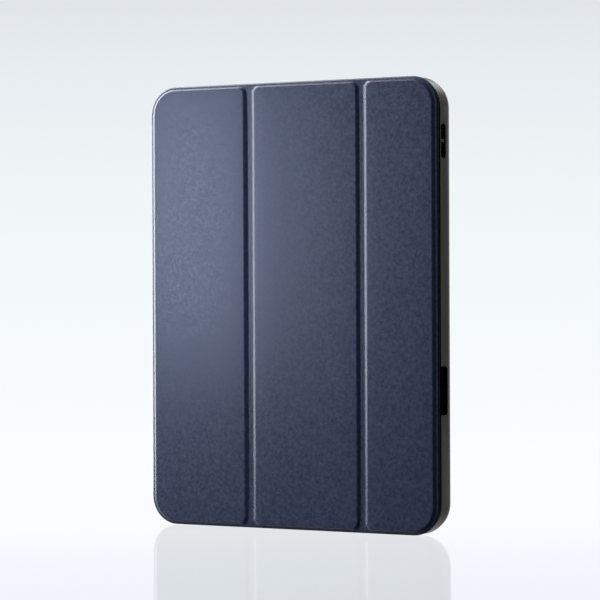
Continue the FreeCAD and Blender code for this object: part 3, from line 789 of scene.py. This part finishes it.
def build_spine():
    """The spine's skin and lining, and its turns to the first panel and to the tray's back."""
    low, high = box("spine_lining")
    place(spine_plate("spine_cover_skin", SPINE_LOW.x, SPINE_HIGH.x, SPINE_CROWN), "skin", "spine",
          "spine_skin")
    place(spine_plate("spine_inner_lining", high.x, low.x, 0), "microfibre", "spine", "spine_lining")

    outer, middle, inner = side_turn(SPINE_LOW.y, FLANGE_FRONT, NOTCH_X)
    half = outer[HALF_TURN]
    past_half = (half[0] + PAST_HALF, half[1])
    layers = (("skin", "front_fold_cover_skin", "front_fold_skin", outer, middle),
              ("microfibre", "front_fold_inner_lining", "front_fold_lining", middle, inner))
    for slot, name, node, a, b in layers:
        side = wrap(f"{name}_side", a[:HALF_TURN + 1], b[:HALF_TURN + 1])
        edge = wrap(f"{name}_edge", a[HALF_TURN:], b[HALF_TURN:])
        bend(side, slot, ("spine", "front_fold"), outer[0], half, node)
        bend(edge, slot, ("front_fold", "panel_1"), past_half, (NOTCH_X, FLANGE_FRONT), node)

    _, high = box("rear_fold_skin")
    outer, middle, inner = side_turn(SPINE_HIGH.y, high.y, high.x)
    layers = (("skin", "rear_fold_cover_skin", "rear_fold_skin", outer, middle),
              ("microfibre", "rear_fold_inner_lining", "rear_fold_lining", middle, inner))
    for slot, name, node, a, b in layers:
        bend(wrap(name, a, b), slot, ("tray", "spine"), outer[-1], outer[0], node)


def build_tray():
    """The tray, the flap bonded on its back, and the foam and lining inside it."""
    place(refined("tray_shell", "moulded_tray", 0.3), "tray", "tray", "tray_shell")
    flap = place(flap_plate(), "skin", "tray", "back_flap_skin")
    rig.sheet(flap, flat=flat_size(*box("back_flap_skin")), held="stretched", rests_on=["flap_tape"])
    pad = place(refined("cushion_pad", "foam_pad", 0.5, 3), "cushion", "tray", "cushion_pad")
    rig.padded(pad, 1.0)
    sheet = place(refined("tray_lining", "tray_inner_lining", 0.2), "microfibre", "tray", "tray_lining")
    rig.sheet(sheet, flat=flat_size(*box("tray_lining")), held="laid", rests_on=[pad.name])


def dress_cad_nodes():
    """Materials for the CAD nodes that stay."""
    kept = {
        "ring": ("camera_ring",),
        "tape": ("flap_tape",),
        "board": ("spine_board", "panel_1_board", "panel_2_board", "panel_3_board"),
        "magnet": ("stand_magnets", "closure_magnets", "wake_magnet"),
    }
    for slot, nodes in kept.items():
        for node in nodes:
            for used in frame["nodes"][node].material_slots:
                used.material = MATERIALS[slot]


build_cover()
build_spine()
build_tray()
dress_cad_nodes()


# ---------------------------------------------------------------- stage, light and camera

# Stops of the gradients: share of the way, and colour.
BACKDROP = ((0.0, (0.86, 0.90, 0.93)), (0.11, (0.90, 0.94, 0.97)), (0.20, (0.97, 0.98, 0.99)),
            (0.44, (0.91, 0.95, 0.97)), (0.65, (0.87, 0.91, 0.93)), (0.84, (0.80, 0.84, 0.87)),
            (1.0, (0.72, 0.75, 0.78)))
ROOM = ((0.0, (0.022, 0.023, 0.026)), (0.28, (0.24, 0.24, 0.25)), (0.50, (0.44, 0.44, 0.45)),
        (0.87, (0.93, 0.94, 0.97)))
# The floor's stops are painted light: a glow that is darker towards the camera's side and lighter further away.
FLOOR_PAINTED_LIGHT = ((0.0, (0.85, 0.89, 0.92)), (0.5, (0.90, 0.94, 0.97)), (0.8, (0.97, 0.98, 0.985)),
               (1.0, (0.98, 0.985, 0.99)))
UP, REAR_LEFT = (0.0, 0.0, 1.0), (-1.0, 1.0, 0.0)
AWAY = (-0.5, 0.87, 0.0)     # along the floor, away from the front view's camera
FLOOR_DROP = 0.0003          # the floor lies this far below the case
CENTRE = (0, 0, 0.127)


def area_light(name, position, target, size, energy, color):
    """A rectangular lamp at a position, turned to its target."""
    data = bpy.data.lights.new(name, "AREA")
    data.shape = "RECTANGLE"
    data.size, data.size_y = size
    data.energy = energy
    data.color = color
    obj = add_object(name, data)
    obj.location = position
    obj.rotation_euler = (Vector(target) - Vector(position)).to_track_quat("-Z", "Y").to_euler()


def gradient(tree, value, low, high, stops):
    """A colour ramp over a value between low and high."""
    return ramp(tree, spread(tree, value, 0.0, 1.0, low, high), stops)


def mixed(tree, share, first, second):
    """A mix of two shader nodes, with that share of the second."""
    values = {0: share, 1: first.outputs[0], 2: second.outputs[0]}
    return add_node(tree, "MixShader", values).outputs[0]


def studio_world():
    """Pale backdrop for the camera; bright behind and dim in front for everything else."""
    world = bpy.data.worlds.new("studio")
    world.use_nodes = True
    tree = world.node_tree
    tree.nodes.clear()
    direction = add_node(tree, "TexCoord", {}).outputs["Generated"]
    backdrop = gradient(tree, along(tree, direction, UP), -0.12, 0.12, BACKDROP)
    room = gradient(tree, along(tree, direction, REAR_LEFT), -0.3, 1.2, ROOM)
    shades = [add_node(tree, "Background", {"Color": color}) for color in (room, backdrop)]
    seen = add_node(tree, "LightPath", {}).outputs["Is Camera Ray"]
    add_node(tree, "OutputWorld", {"Surface": mixed(tree, seen, *shades)})
    bpy.context.scene.world = world


def floor_material(radius, gloss=0.21):
    """A pale glossy floor that shows the case's soft reflection and fades out at its rim.
    Its glow is painted light, darker towards the camera's side and lighter further away, in place of lamp light.
    """
    mat, tree, bsdf, where = new_material("pale_floor")
    tree.nodes.remove(bsdf)
    # Painted light: the floor glows, darker towards the camera's side and lighter further away, in place of lamp
    # light.
    painted_floor_light = gradient(tree, along(tree, where, AWAY), -0.4, 0.1, FLOOR_PAINTED_LIGHT)
    pale = add_node(tree, "Emission", {"Color": painted_floor_light, "Strength": 1 - gloss})
    shine = add_node(tree, "BsdfGlossy", {"Color": (gloss, gloss, gloss * 1.1, 1), "Roughness": 0.07})
    both = add_node(tree, "AddShader", {0: pale.outputs[0], 1: shine.outputs[0]})
    reach = add_node(tree, "VectorMath", {0: where}, operation="LENGTH").outputs["Value"]
    solid = spread(tree, reach, 1.0, 0.0, radius * 0.55, radius)
    surface = mixed(tree, solid, add_node(tree, "BsdfTransparent", {}), both)
    set_inputs(tree, tree.nodes["Material Output"], {"Surface": surface})
    return mat


def floor(radius=0.8):
    """A disc that only the camera sees, just below the case."""
    bm = bmesh.new()
    bmesh.ops.create_circle(bm, cap_ends=True, segments=96, radius=radius)
    mesh = bpy.data.meshes.new("floor")
    bm.to_mesh(mesh)
    bm.free()
    mesh.materials.append(floor_material(radius))
    obj = add_object("floor", mesh)
    obj.location.z = cad_box[0].z - FLOOR_DROP
    obj.visible_diffuse = obj.visible_glossy = obj.visible_shadow = obj.visible_transmission = False
    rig.stage(obj)


def camera(azimuth=30.027, elevation=0.3395, roll=-0.2502, distance=1.51027, lens=159.84,
           aim=(0.005303, 0.003284)):
    """The view from the front, turned to the free edge's side.

    It looks at a point that lies aim right and up of the middle of the cover's front."""
    a, e, r = (math.radians(v) for v in (azimuth, elevation, roll))
    back = Vector((math.sin(a) * math.cos(e), -math.cos(a) * math.cos(e), math.sin(e)))
    right = Vector((math.cos(a), math.sin(a), 0))
    up = back.cross(right)
    target = Vector((0, FLANGE_FRONT * MM, (COVER_LOW.z + COVER_HIGH.z) / 2 * MM))
    target += right * aim[0] + up * aim[1]
    axes = (right * math.cos(r) + up * math.sin(r), up * math.cos(r) - right * math.sin(r), back)
    data = bpy.data.cameras.new("camera")
    data.lens = lens
    data.sensor_width = 36
    obj = add_object("camera", data)
    turn = Matrix(axes).transposed().to_4x4()
    obj.matrix_world = Matrix.Translation(target + back * distance) @ turn
    bpy.context.scene.camera = obj


studio_world()
floor()
area_light("key", (-0.31, -0.386, 0.193), (-0.068, -0.008, 0.178), (0.07, 0.22), 0.70, (0.66, 0.74, 1.0))
area_light("side", (-0.62, -0.05, 0.42), CENTRE, (0.6, 0.95), 14.0, (0.93, 0.95, 1.0))
area_light("top", (-0.40, -0.35, 0.88), (0, 0, 0.25), (0.4, 0.4), 3.0, (0.94, 0.95, 1.0))
area_light("rear", (0.10, 0.80, 0.70), (0.08, 0, 0.24), (0.35, 0.16), 0.8, (0.97, 0.96, 1.0))
camera()
bpy.context.scene.view_settings.view_transform = "Standard"

visual_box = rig.bounds()
with open("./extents.json", "w") as out:
    json.dump({"cad": [list(corner) for corner in cad_box],
               "visual": [list(corner) for corner in visual_box]}, out)
